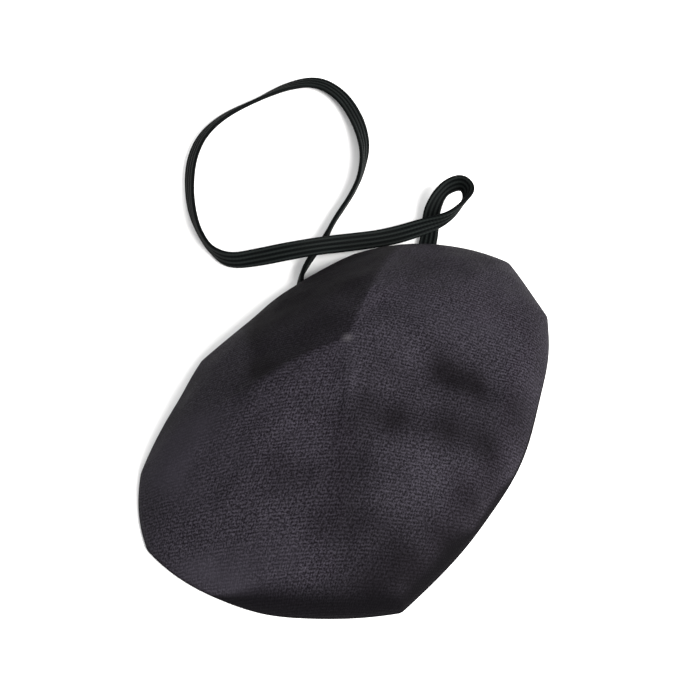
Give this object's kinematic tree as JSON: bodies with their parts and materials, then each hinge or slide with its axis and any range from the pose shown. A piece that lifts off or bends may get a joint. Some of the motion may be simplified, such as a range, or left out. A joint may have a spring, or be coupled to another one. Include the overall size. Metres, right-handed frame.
{
  "type": "eye patch",
  "caption": "Moulded cone-shaped fabric eye patch with a stiffener, a soft lining and a loose loop of flat braided elastic, resting dome up.",
  "frame": {"origin": "under the middle of the patch, on the plane of the hem that it rests on", "axes": "+X along the long axis of the oval, +Y towards the side where the strap leaves the rim (upwards when worn), +Z out of the dome, away from the eye"},
  "size_m": [0.1006, 0.0888, 0.02],
  "materials": {
    "cover_fabric": "matt twill weave",
    "stiffener_felt": "pressed felt",
    "lining_fabric": "soft plain weave",
    "thread": "twisted polyester thread",
    "elastic": "ribbed braid"
  },
  "bodies": {
    "patch": {"cover": "cover_fabric", "stiffener_shell": "stiffener_felt", "lining": "lining_fabric", "rim_stitches": "thread", "strap_tail_right": "elastic", "strap_tail_left": "elastic", "bar_tack_right": "thread", "bar_tack_left": "thread"},
    "strap_loop": {"strap": "elastic"}
  },
  "joints": [
    {"name": "strap_swing", "type": "hinge", "parent": "patch", "child": "strap_loop", "pos_m": [0.0286, 0.0188, 0.00137], "axis": [0.803, -0.596, 0], "range_deg": [0, 50]}
  ]
}
